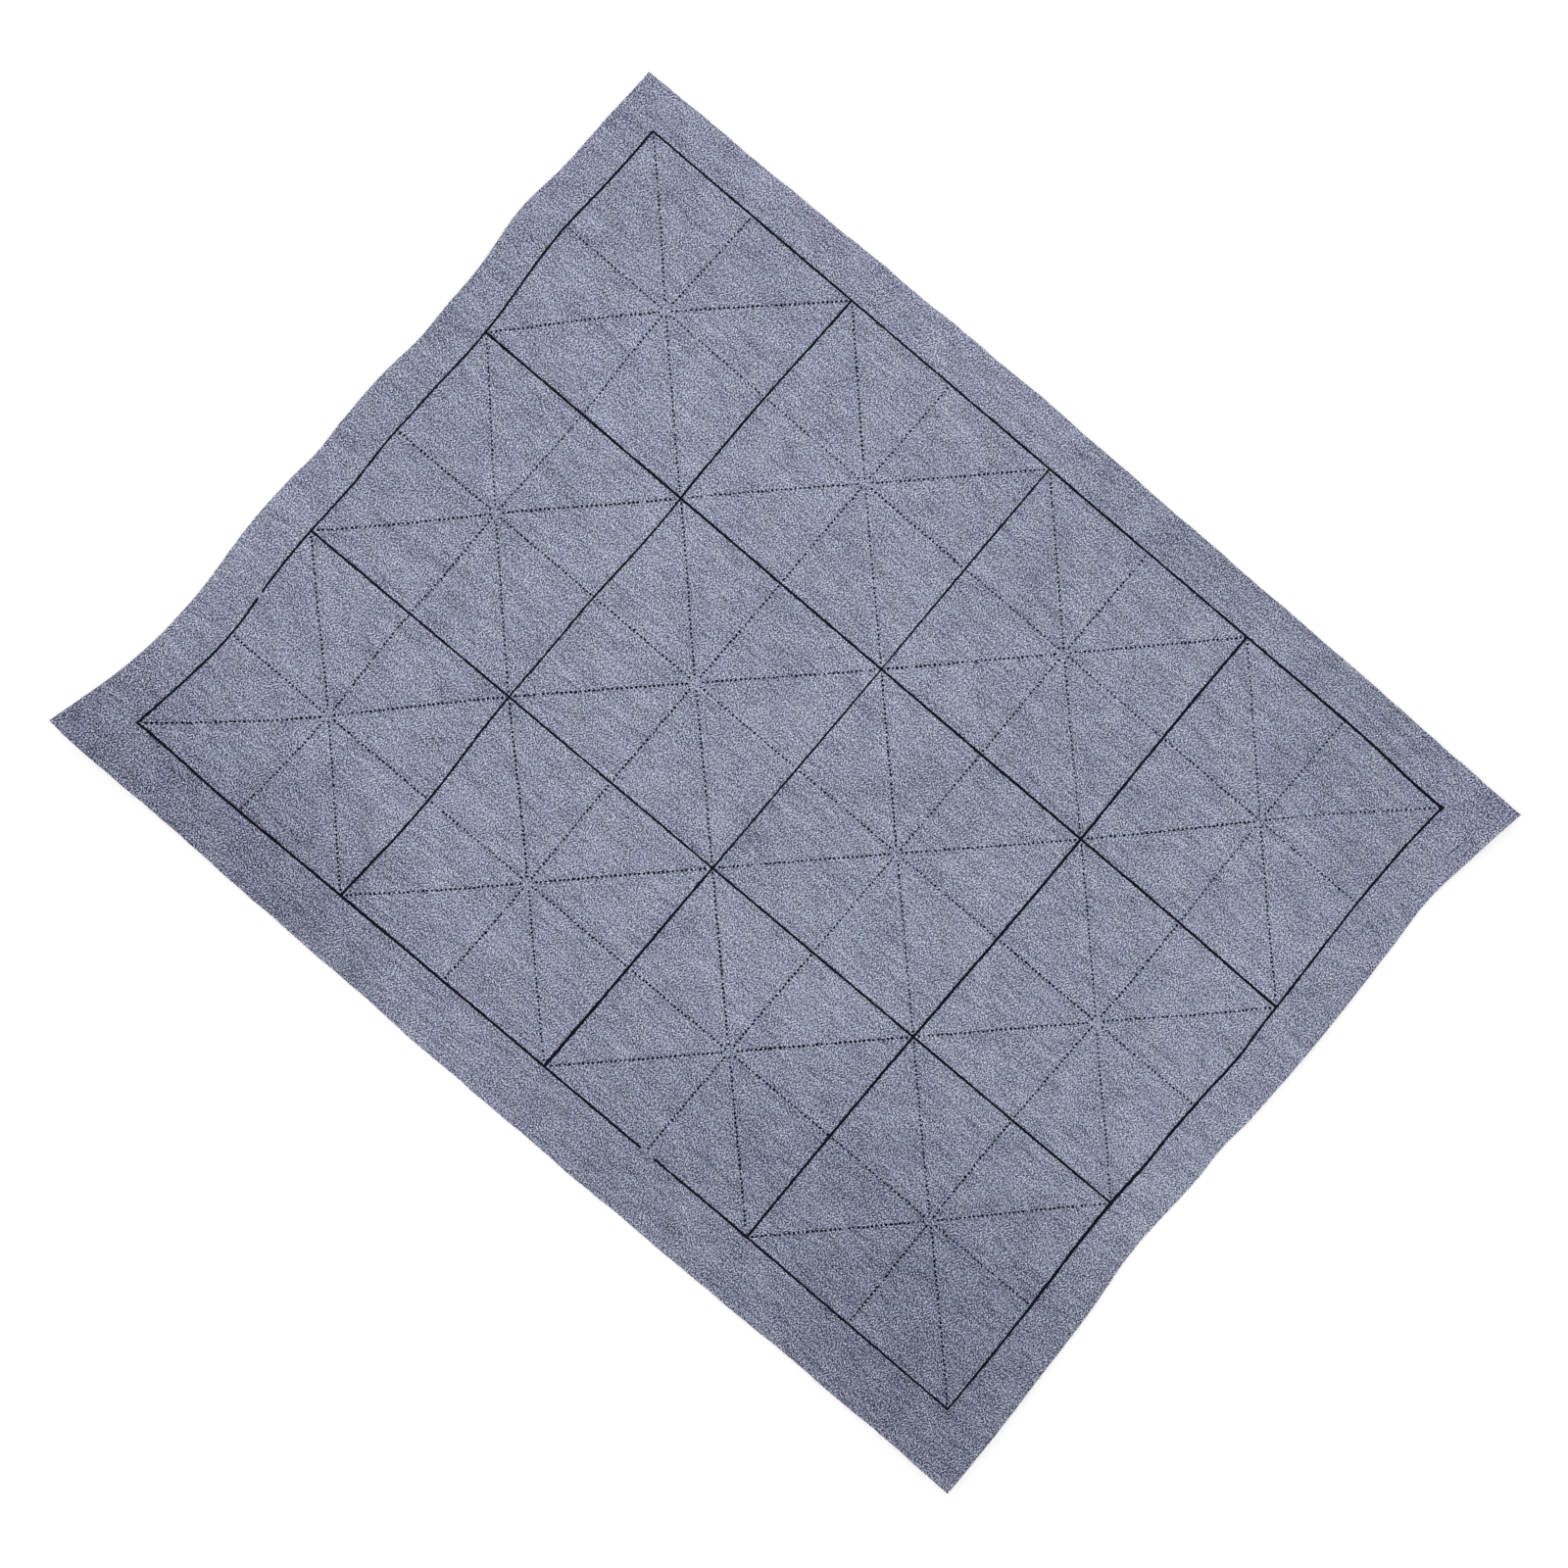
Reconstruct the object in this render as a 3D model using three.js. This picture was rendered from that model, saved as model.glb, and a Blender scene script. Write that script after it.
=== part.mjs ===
// Water writing cloth: a soft coated sheet, printed with practice squares, lying loose on a table.
// Millimetres, +Z up. X runs along the long side and Y along the short side. The origin is the middle of
// the footprint, at the table's height. Wet strokes turn the writing coat clear and show the dark colour
// under it, until they dry.
import * as THREE from "three";

// Printed grid
const SQUARE = 90; // side of one practice square, line middle to line middle
const COLUMNS = 4;
const ROWS = 3;
const LINE_WIDTH = 1.0;

// Cut sheet: distance from the outer printed lines to the cut edges, measured at the corners
const MARGIN_LEFT = 15.5;
const MARGIN_RIGHT = 17.5;
const MARGIN_TOP = 14;
const MARGIN_BOTTOM = 18.5;
const TOP_BOW = 3; // the long edges swell at mid-length, where the cloth was cut by hand
const BOTTOM_BOW = 4;
const BOTTOM_SKEW = 2.2; // the bottom margin is this much wider at the right corner than at mid-length

// Layers, from the table up
const CLOTH_THICKNESS = 0.7;
const COLOUR_THICKNESS = 0.1;
const COAT_THICKNESS = 0.1;
const INK_THICKNESS = 0.08;

// Misprints: two places where the outer line was not inked
const BOTTOM_BREAK_START = 43; // from the middle of the grid towards the right
const BOTTOM_BREAK_WIDTH = 5.5;
const LEFT_BREAK_START = 71; // from the middle of the grid towards the bottom
const LEFT_BREAK_WIDTH = 1.5;

// Ripples across the two short ends: middle, measured up the end from its bottom corner, half width, and
// height at the cut edge
const LEFT_RIPPLES = [
  { fromBottom: 239, halfWidth: 50, height: 2.5 },
  { fromBottom: 151, halfWidth: 45, height: 1.3 },
  { fromBottom: 99, halfWidth: 40, height: 2.4 },
  { fromBottom: 0, halfWidth: 58, height: 5.2 },
];
const RIGHT_RIPPLES = [
  { fromBottom: 196, halfWidth: 75, height: 2.5 },
  { fromBottom: 51, halfWidth: 55, height: 2.7 },
  { fromBottom: 0, halfWidth: 60, height: 4.7 },
];
const LIFT_REACH_LEFT = 150; // how far in from the short edge a ripple dies out
const LIFT_REACH_RIGHT = 130;
const SPREAD_REACH = 240; // how far in the sheet is pulled out of square by them
const SPREAD = 0.37; // outward pull for each millimetre of lift

// Two opposite corners curl up from a slanted crease
const CURL_HEIGHT_LEFT = 10; // bottom left corner
const CURL_HEIGHT_RIGHT = 8.5; // top right corner
const CURL_ALONG_X = 50; // crease to corner, along the long edge
const CURL_ALONG_Y = 62; // crease to corner, along the short edge

// Facets: steps across one square of the end columns, up one square, and across the top and bottom margins
const STEPS_END_COLUMN = 5;
const STEPS_ROW = 5;
const STEPS_MARGIN = 2;

const gridHalfX = (COLUMNS * SQUARE) / 2;
const gridHalfY = (ROWS * SQUARE) / 2;
const leftEdge = -gridHalfX - MARGIN_LEFT;
const rightEdge = gridHalfX + MARGIN_RIGHT;
const sheetMiddle = (leftEdge + rightEdge) / 2;
const sheetHalf = (rightEdge - leftEdge) / 2;

// Heights of the layer boundaries above the underside
const colourLevel = CLOTH_THICKNESS;
const coatLevel = colourLevel + COLOUR_THICKNESS;
const faceLevel = coatLevel + COAT_THICKNESS;
const inkLevel = faceLevel + INK_THICKNESS;

const clamp = (value) => Math.min(Math.max(value, 0), 1);

// 1 at the cut edge, falling smoothly to 0 at the reach
function endWeight(fromEdge, reach) {
  return THREE.MathUtils.smoothstep(1 - fromEdge / reach, 0, 1);
}

// Height of a row of ripples at a distance up the end from its bottom corner: raised cosines side by side
function rippleHeight(ripples, upEnd) {
  return ripples.reduce((height, ripple) => {
    const offset = Math.min(Math.abs(upEnd - ripple.fromBottom) / ripple.halfWidth, 1);
    return height + ripple.height * Math.cos((offset * Math.PI) / 2) ** 2;
  }, 0);
}

// Width of the top and bottom margins at a place along X
function marginAt(x, margin, bow, skew) {
  const share = (x - sheetMiddle) / sheetHalf;
  return margin + bow * (1 - share * share) + skew * share;
}
const topEdge = (x) => gridHalfY + marginAt(x, MARGIN_TOP, TOP_BOW, 0);
const bottomEdge = (x) => -gridHalfY - marginAt(x, MARGIN_BOTTOM, BOTTOM_BOW, BOTTOM_SKEW);

// Height of a curling corner, from the distances to the two edges that meet there
function curl(fromEnd, fromSide, height) {
  const share = clamp(1 - fromEnd / CURL_ALONG_X - fromSide / CURL_ALONG_Y);
  return height * share * share;
}

// Where a point of the flat cut sheet lies on the underside of the rippled sheet
function laid(x, y) {
  const fromLeft = x - leftEdge;
  const fromRight = rightEdge - x;
  const leftRipples = rippleHeight(LEFT_RIPPLES, y - bottomEdge(leftEdge));
  const rightRipples = rippleHeight(RIGHT_RIPPLES, y - bottomEdge(rightEdge));
  const leftCurl = curl(fromLeft, y - bottomEdge(x), CURL_HEIGHT_LEFT);
  const rightCurl = curl(fromRight, topEdge(x) - y, CURL_HEIGHT_RIGHT);
  const lift =
    endWeight(fromLeft, LIFT_REACH_LEFT) * leftRipples +
    endWeight(fromRight, LIFT_REACH_RIGHT) * rightRipples +
    leftCurl +
    rightCurl;
  const pullRight = endWeight(fromRight, SPREAD_REACH) * rightRipples + rightCurl;
  const pullLeft = endWeight(fromLeft, SPREAD_REACH) * leftRipples + leftCurl;
  return new THREE.Vector3(x + SPREAD * (pullRight - pullLeft), y, lift);
}

// A point at a height above the underside, square to the sheet
function onSheet(x, y, level) {
  const nudge = 0.5;
  const alongX = laid(x + nudge, y).sub(laid(x - nudge, y));
  const alongY = laid(x, y + nudge).sub(laid(x, y - nudge));
  const normal = alongX.cross(alongY).normalize();
  return laid(x, y).addScaledVector(normal, level);
}

// Places between two lines, the lines left out
function between(start, end, steps) {
  return Array.from({ length: steps - 1 }, (_, i) => start + ((end - start) * (i + 1)) / steps);
}

// Sorted, with repeats left out
function inOrder(places) {
  const leastStep = 0.01;
  const sorted = [...places].sort((a, b) => a - b);
  return sorted.filter((place, i) => i === 0 || place - sorted[i - 1] > leastStep);
}

const linePlaces = (count) => Array.from({ length: count + 1 }, (_, i) => (i - count / 2) * SQUARE);
const columnLines = linePlaces(COLUMNS);
const rowLines = linePlaces(ROWS);
const bothEdges = (line) => [line - LINE_WIDTH / 2, line + LINE_WIDTH / 2];

// Lattice that every layer shares, so that stacked layers meet face to face
const bottomBreak = [BOTTOM_BREAK_START, BOTTOM_BREAK_START + BOTTOM_BREAK_WIDTH];
const leftBreak = [-LEFT_BREAK_START - LEFT_BREAK_WIDTH, -LEFT_BREAK_START];
const latticeX = inOrder([
  leftEdge,
  rightEdge,
  ...columnLines.flatMap(bothEdges),
  ...between(-gridHalfX, -gridHalfX + SQUARE, STEPS_END_COLUMN),
  ...between(gridHalfX - SQUARE, gridHalfX, STEPS_END_COLUMN),
  ...bottomBreak,
]);
const latticeY = inOrder([
  ...rowLines.flatMap(bothEdges),
  ...rowLines.slice(1).flatMap((line) => between(line - SQUARE, line, STEPS_ROW)),
  ...leftBreak,
]);

// Rows of the lattice as functions of x: straight inside the print, and spread over the margins to the cut
const printTop = gridHalfY + LINE_WIDTH / 2;
const marginShares = Array.from({ length: STEPS_MARGIN }, (_, i) => (i + 1) / STEPS_MARGIN);
const latticeRows = [
  ...marginShares.map((share) => (x) => THREE.MathUtils.lerp(-printTop, bottomEdge(x), share)).reverse(),
  ...latticeY.map((y) => () => y),
  ...marginShares.map((share) => (x) => THREE.MathUtils.lerp(printTop, topEdge(x), share)),
];

// A closed layer between two levels, over the lattice cells that the test keeps
function layerGeometry(lowLevel, highLevel, keeps) {
  const columns = latticeX.length;
  const points = [lowLevel, highLevel].flatMap((level) =>
    latticeRows.flatMap((row) => latticeX.map((x) => onSheet(x, row(x), level))),
  );
  const high = columns * latticeRows.length;
  const kept = (i, j) => {
    const inside = i >= 0 && j >= 0 && i < columns - 1 && j < latticeRows.length - 1;
    if (!inside) return false;
    const x = (latticeX[i] + latticeX[i + 1]) / 2;
    return keeps(x, (latticeRows[j](x) + latticeRows[j + 1](x)) / 2);
  };
  const faces = [];
  const quad = (a, b, c, d) => faces.push(a, b, c, a, c, d);
  for (let j = 0; j < latticeRows.length - 1; j++) {
    for (let i = 0; i < columns - 1; i++) {
      if (!kept(i, j)) continue;
      const a = j * columns + i;
      const b = a + 1;
      const c = b + columns;
      const d = a + columns;
      quad(a + high, b + high, c + high, d + high);
      faces.push(a, c, b, a, d, c);
      if (!kept(i, j - 1)) quad(a, b, b + high, a + high);
      if (!kept(i + 1, j)) quad(b, c, c + high, b + high);
      if (!kept(i, j + 1)) quad(c, d, d + high, c + high);
      if (!kept(i - 1, j)) quad(d, a, a + high, d + high);
    }
  }
  const used = [...new Set(faces)];
  const newIndex = new Map(used.map((old, index) => [old, index]));
  const geometry = new THREE.BufferGeometry().setFromPoints(used.map((old) => points[old]));
  geometry.setIndex(faces.map((old) => newIndex.get(old)));
  geometry.computeVertexNormals();
  return geometry;
}

const wholeSheet = () => true;
const onLine = (place, lines) => lines.some((line) => Math.abs(place - line) < LINE_WIDTH / 2);
const within = (place, [low, high]) => place > low && place < high;

// Solid lines of the grid: the frame and the lines between the squares, less the two misprints
function onPrint(x, y) {
  const inFrame = Math.abs(x) < gridHalfX + LINE_WIDTH / 2 && Math.abs(y) < printTop;
  const onBottomLine = onLine(y, rowLines.slice(0, 1));
  const onLeftLine = onLine(x, columnLines.slice(0, 1));
  const missed = (onBottomLine && within(x, bottomBreak)) || (onLeftLine && within(y, leftBreak));
  return inFrame && !missed && (onLine(x, columnLines) || onLine(y, rowLines));
}

function piece(name, geometry, colour, roughness) {
  const material = new THREE.MeshStandardMaterial({ color: colour, roughness, metalness: 0 });
  const mesh = new THREE.Mesh(geometry, material);
  mesh.name = name;
  return mesh;
}

const cloth = new THREE.Group();
cloth.add(piece("base_cloth", layerGeometry(0, colourLevel, wholeSheet), 0x6f7383, 0.95));
cloth.add(piece("colour_layer", layerGeometry(colourLevel, coatLevel, wholeSheet), 0x1f2230, 0.9));
cloth.add(piece("writing_coat", layerGeometry(coatLevel, faceLevel, wholeSheet), 0x898da0, 0.95));
cloth.add(piece("grid_lines", layerGeometry(faceLevel, inkLevel, onPrint), 0x171a28, 0.7));

// The footprint's middle goes to the origin
const footprint = new THREE.Box3().setFromObject(cloth);
const middle = footprint.getCenter(new THREE.Vector3());
cloth.position.set(-middle.x, -middle.y, 0);

export default cloth;
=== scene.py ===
"""Water writing cloth: a soft coated sheet, printed with practice squares, lying loose on a table.

Sizes are in millimetres until a mesh is made, and in metres from there on. X runs along the long side and
Y along the short side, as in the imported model, and +Z is up.
"""

import math

import bpy
import numpy as np
from mathutils import Matrix, Vector


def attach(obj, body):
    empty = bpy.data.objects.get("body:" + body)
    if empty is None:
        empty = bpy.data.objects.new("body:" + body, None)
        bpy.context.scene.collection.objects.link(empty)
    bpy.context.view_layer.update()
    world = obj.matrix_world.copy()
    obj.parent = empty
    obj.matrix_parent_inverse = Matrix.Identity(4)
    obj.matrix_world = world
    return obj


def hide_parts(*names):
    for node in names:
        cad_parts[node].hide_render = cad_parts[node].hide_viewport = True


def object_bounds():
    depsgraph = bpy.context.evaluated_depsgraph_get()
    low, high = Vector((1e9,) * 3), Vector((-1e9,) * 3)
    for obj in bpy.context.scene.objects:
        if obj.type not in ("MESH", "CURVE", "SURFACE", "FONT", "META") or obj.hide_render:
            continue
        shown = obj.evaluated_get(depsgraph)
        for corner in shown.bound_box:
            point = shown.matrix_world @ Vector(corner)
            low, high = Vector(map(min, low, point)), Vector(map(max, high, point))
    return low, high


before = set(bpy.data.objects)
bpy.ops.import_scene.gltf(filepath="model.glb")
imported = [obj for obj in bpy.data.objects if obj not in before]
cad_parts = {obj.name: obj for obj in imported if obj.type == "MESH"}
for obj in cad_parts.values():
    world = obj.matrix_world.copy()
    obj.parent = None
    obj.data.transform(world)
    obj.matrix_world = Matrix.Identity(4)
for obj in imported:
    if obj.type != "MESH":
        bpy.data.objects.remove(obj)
cad_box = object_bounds()

MM = 0.001
SEED = 20

# Printed grid
SQUARE = 90.0
COLUMNS = 4
ROWS = 3
LINE_WIDTH = 1.0
LINE_RAGGED = 0.09  # how far the ink's edge strays
LINE_STRAY = (0.94, 1.06)  # how far the width of one stretch strays from its line's
CROSSING_SWELL = 0.02  # most that ink spreads where two lines cross
CORNER_SWELL = 0.2  # spread of the blot on the frame's upper right corner

# Share of the full width that each line took at its crossings, from its left or lower end
ROW_PRESSURES = (
    (0.95, 0.98, 0.88, 0.88, 0.8), (0.86, 0.8, 0.8, 0.84, 0.78), (0.88, 0.92, 0.86, 0.9, 0.95),
    (0.74, 0.74, 0.78, 0.86, 1.0),
)
COLUMN_PRESSURES = (
    (0.84, 0.8, 0.8, 0.8), (0.92, 0.78, 0.78, 0.76), (1.1, 0.8, 0.66, 0.72), (0.92, 1.0, 0.95, 1.0),
    (0.72, 1.22, 0.88, 0.82),
)

# Cut sheet: distance from the outer printed lines to the cut edges
MARGIN_LEFT = 15.5
MARGIN_RIGHT = 17.5
MARGIN_TOP = 14.0
MARGIN_BOTTOM = 18.5
TOP_BOW = 3.0
BOTTOM_BOW = 4.0
BOTTOM_SKEW = 2.2
CUT_WANDER = 0.2  # how far the long cuts stray from a smooth line
CUT_WAVES = ((90.0, 1.0), (37.0, 0.6), (14.0, 0.3))  # length of each wave in them, and its share

# Where the cuts stray: middle, measured from the grid's middle, half width, and distance along X or Y
LEFT_STRAYS = (
    (148, 22, 1.1), (128, 18, 0.5), (106, 24, 1.3), (58, 26, 1.3), (28, 22, 1.2), (-26, 14, 0.5),
    (-84, 20, 0.4), (-126, 42, 1.1),
)
RIGHT_STRAYS = ((108, 22, -0.7), (-5, 14, -0.7), (-50, 30, -1.2))
TOP_STRAYS = (
    (-190, 45, 1.1), (-100, 30, 0.4), (-16, 36, 0.5), (40, 40, -0.4), (152, 22, 0.5), (202, 27, -1.5),
)
BOTTOM_STRAYS = (
    (-200, 14, 1.5), (-170, 22, -0.7), (-90, 20, -0.4), (55, 40, 0.5), (132, 44, 0.7), (204, 36, -1.5),
)

# Layers, from the table up
CLOTH_THICKNESS = 0.7
COLOUR_THICKNESS = 0.1
COAT_THICKNESS = 0.1
INK_THICKNESS = 0.08

# Uneven felt: waves of these lengths, with this mean height in all
RELIEF_WAVES = 48
RELIEF_LENGTHS = (8.0, 24.0)
RELIEF_HEIGHT = 0.05

# Misprints of the outer lines, by the distance along them from the middle of the grid
BOTTOM_BREAK_START = 43.0
BOTTOM_BREAK_WIDTH = 5.5
NICK_START = 56.1
NICK_WIDTH = 0.2
BLOT_END = -118.0
BLOT_LENGTH = 9.0
BLOT_WIDTH = 0.3
LEFT_BREAK_START = 72.1
LEFT_BREAK_WIDTH = 1.9
STARVED_END = 0.9  # a broken line thins over this length
STARVED_WIDTH = 0.6  # to this share of its width

# How the print wandered on the soft cloth: pulls along X and along Y, each with its middle, reach along X
# and Y, and size. The inner lines across sag by a mean amount, more at one end of each.
PULLS_ALONG_X = (
    (-180, -72, 85, 200, 1.8), (-90, 9, 85, 135, -1.1), (90, -9, 85, 110, 0.8), (180, 76, 85, 85, -1.6),
    (-180, 110, 60, 26, 0.5), (-180, 48, 60, 38, 0.8), (-180, -8, 60, 20, -0.5), (-180, -92, 60, 28, 0.7),
    (-90, 26, 60, 34, 0.8), (-90, -92, 60, 48, 0.8), (180, -142, 60, 42, -0.8), (180, -27, 60, 16, 0.6),
    (180, 22, 60, 18, 0.6), (0, 0, 60, 140, 0.3),
)
PULLS_ALONG_Y = ((180, 135, 42, 60, -1.5), (-180, -135, 42, 60, 1.1), (185, 45, 60, 40, -0.6))
PRINT_SAG = 1.0
PRINT_SAG_SKEW = 0.47

# Ripples across the two short ends: middle, measured up the end from its bottom corner, half width, height
LEFT_RIPPLES = ((239, 50, 2.5), (151, 45, 1.3), (99, 40, 2.4), (0, 58, 5.2))
RIGHT_RIPPLES = ((196, 75, 2.5), (51, 55, 2.7), (0, 60, 4.7))
LIFT_REACH_LEFT = 150.0
LIFT_REACH_RIGHT = 130.0
SPREAD_REACH = 240.0
SPREAD = 0.37

# Two opposite corners curl up from a slanted crease
CURL_HEIGHT_LEFT = 10.0
CURL_HEIGHT_RIGHT = 8.5
CURL_ALONG_X = 50.0
CURL_ALONG_Y = 62.0

# Dotted guides: two diagonals and two mid-lines in each square, stopping short of middle, lines and corners
DOT_PITCH = 1.6
DOT_HALF_LENGTH = 0.455
DOT_HALF_WIDTH = 0.41
DOT_SIDES = 9
DOT_RAGGED = 0.14  # how far a dot's outline strays, as a share of its size
DOT_STRAYS = (0.09, 0.06)  # how far a dot strays along its guide and across it
DOT_SIZES = (0.9, 1.12)
WEAK_DOTS = 0.06  # share of dots that took little ink
WEAK_SIZES = (0.5, 0.75)
RUN_SIZES = (0.92, 1.08)  # how strongly a whole run of dots printed
HEADING_SIZES = (1.0, 1.06, 1.02, 0.98)  # the same for each heading, in steps of an eighth turn from X
GUIDE_FADE = 0.05  # the dots grow by this share from a square to the one below it
GUIDE_FROM_MIDDLE = (1.7, 3.1)
GUIDE_FROM_LINES = (1.1, 1.8)
GUIDE_FROM_CORNERS = (1.8, 2.6)

# A dark fibre caught on the right margin, bowed by half waves: how many of each, and how far
STRAY_START = (191.3, 123.2)
STRAY_END = (191.9, 130.8)
STRAY_BOWS = ((1, 0.35), (3, 0.12))
STRAY_RADIUS = 0.2
STRAY_RINGS = 12

# Fibre ends along the raw cut
FRINGE_PER_MM = 2.2
FRINGE_LENGTHS = (0.25, 0.95)
FRINGE_ROOT = 0.2  # share of the length that lies inside the cut
FRINGE_LEAN = 0.8  # slant along the cut, for each millimetre out of it
FRINGE_BEND = 0.15
FRINGE_LEVELS = (0.1, 0.9)  # share of the sheet's thickness at which they come out
FRINGE_RISE = 0.12
FRINGE_RADIUS = 0.025
FRINGE_RINGS = 4
STRAND_SIDES = 3
STRAND_TIP = 0.3  # share of the radius that is left at a fibre's tip

# Painted shade and light: darker and paler patches, with their middle, reach along X and Y, and strength
PAINTED_SHADING_PATCHES = (
    ((190, -140), (195, 105), -0.12), ((-175, -157), (190, 62), -0.12), ((205, 158), (80, 32), -0.08),
    ((70, 155), (85, 24), -0.06), ((-205, 55), (60, 110), -0.05), ((120, -88), (170, 42), -0.022),
    ((-145, -140), (62, 32), -0.026), ((-108, 105), (50, 65), 0.025), ((110, 88), (85, 38), 0.022),
    ((42, 28), (46, 32), -0.024),
)

# Shades of felt: where each lies from darkest to palest, and its step from the middle colour, times contrast
FELT_SHADES = ((0.0, -3.6), (0.25, -1.7), (0.5, 0.05), (0.75, 1.35), (1.0, 2.4))

# Steps of the fine meshes, and the angle from which an edge is sharp
SHEET_STEP = 2.0
LINE_STEP = 0.7
SHARP_ANGLE = math.radians(35)

# Flat map of a layer: the side that shows is large, the other lies small above it, with the rim in a band
MAP_MARGIN = 2.0  # added to the sheet's length, so that the large side stays inside the map
MAP_SMALL = 0.18
MAP_SMALL_CORNER = (0.0, 0.82)
MAP_RIM_START = 0.2
MAP_RIM_LENGTH = 0.78
MAP_RIM_BAND = (0.86, 0.9)

# Camera, found from the printed lines: the frame's focal length in pixels, and the aim on the grid
FRAME_PIXELS = 1600
FOCAL_PIXELS = 1700.0
CAMERA_DISTANCE = 575.3
CAMERA_TILT = math.radians(1.44)
CAMERA_AZIMUTH = math.radians(-26.72)
CAMERA_ROLL = math.radians(66.96)
CAMERA_AIM = (0.24, -7.86)

# Floor and light, in metres and watts: the floor's shade and its glow add up to white
FLOOR_HALF = 1.4
FLOOR_DROP = 0.0003
FLOOR_SHADE = 0.4
FLOOR_GLOW = 0.7
WORLD_LIGHT = 0.5
KEY_LEAN = (-0.15, 0.35)  # to the picture's right and top, for each step back towards the camera
KEY_DISTANCE = 1.7
KEY_SIZE = 1.2
KEY_ENERGY = 13.5

grid_half_x = COLUMNS * SQUARE / 2
grid_half_y = ROWS * SQUARE / 2
left_edge = -grid_half_x - MARGIN_LEFT
right_edge = grid_half_x + MARGIN_RIGHT
sheet_middle = (left_edge + right_edge) / 2
sheet_half = (right_edge - left_edge) / 2
colour_level = CLOTH_THICKNESS
coat_level = colour_level + COLOUR_THICKNESS
face_level = coat_level + COAT_THICKNESS
ink_level = face_level + INK_THICKNESS
rng = np.random.default_rng(SEED)


# The laid sheet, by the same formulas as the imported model

def smoothstep(share):
    """0 below 0 and 1 above 1, with a smooth rise between."""
    share = np.clip(share, 0, 1)
    return share * share * (3 - 2 * share)


def humps_at(place, humps):
    """Height of a row of humps at a place: raised cosines, each with its middle, half width and height."""
    total = 0
    for middle, half_width, height in humps:
        offset = np.minimum(np.abs(place - middle) / half_width, 1)
        total = total + height * np.cos(offset * math.pi / 2) ** 2
    return total


def margin_at(x, margin, bow, skew):
    """Width of the top or bottom margin at a place along X."""
    share = (x - sheet_middle) / sheet_half
    return margin + bow * (1 - share * share) + skew * share


def top_edge(x):
    return grid_half_y + margin_at(x, MARGIN_TOP, TOP_BOW, 0)


def bottom_edge(x):
    return -grid_half_y - margin_at(x, MARGIN_BOTTOM, BOTTOM_BOW, BOTTOM_SKEW)


def curl(from_end, from_side, height):
    """Height of a curling corner, from the distances to the two edges that meet there."""
    share = np.clip(1 - from_end / CURL_ALONG_X - from_side / CURL_ALONG_Y, 0, 1)
    return height * share * share


def laid(x, y):
    """Where points of the flat cut sheet lie on the underside of the rippled sheet."""
    from_left = x - left_edge
    from_right = right_edge - x
    left_ripples = humps_at(y - bottom_edge(left_edge), LEFT_RIPPLES)
    right_ripples = humps_at(y - bottom_edge(right_edge), RIGHT_RIPPLES)
    left_curl = curl(from_left, y - bottom_edge(x), CURL_HEIGHT_LEFT)
    right_curl = curl(from_right, top_edge(x) - y, CURL_HEIGHT_RIGHT)
    left_lift = smoothstep(1 - from_left / LIFT_REACH_LEFT) * left_ripples + left_curl
    right_lift = smoothstep(1 - from_right / LIFT_REACH_RIGHT) * right_ripples + right_curl
    left_pull = smoothstep(1 - from_left / SPREAD_REACH) * left_ripples + left_curl
    right_pull = smoothstep(1 - from_right / SPREAD_REACH) * right_ripples + right_curl
    return np.stack([x + SPREAD * (right_pull - left_pull), y + 0 * x, left_lift + right_lift], axis=-1)


relief_lengths = rng.uniform(*RELIEF_LENGTHS, RELIEF_WAVES)
relief_headings = rng.uniform(0, math.pi, RELIEF_WAVES)
relief_starts = rng.uniform(0, 2 * math.pi, RELIEF_WAVES)


def relief(x, y):
    """Uneven thickness of the felt: a sum of waves across it in all directions."""
    total = 0
    for length, heading, start in zip(relief_lengths, relief_headings, relief_starts):
        along = x * math.cos(heading) + y * math.sin(heading)
        total = total + np.cos(2 * math.pi * along / length + start)
    return RELIEF_HEIGHT * total / math.sqrt(RELIEF_WAVES / 2)


def raised(x, y, level):
    """Points at a height above the underside, square to the sheet."""
    nudge = 0.5
    along_x = laid(x + nudge, y) - laid(x - nudge, y)
    along_y = laid(x, y + nudge) - laid(x, y - nudge)
    normal = np.cross(along_x, along_y)
    normal /= np.linalg.norm(normal, axis=-1, keepdims=True)
    height = level + relief(x, y) * np.minimum(level / CLOTH_THICKNESS, 1)
    return laid(x, y) + normal * height[..., None]


def strayed(place):
    """How far a long cut strays along its length."""
    return CUT_WANDER * sum(
        share * np.sin(2 * math.pi * (place / length + rng.random())) for length, share in CUT_WAVES
    )


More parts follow.
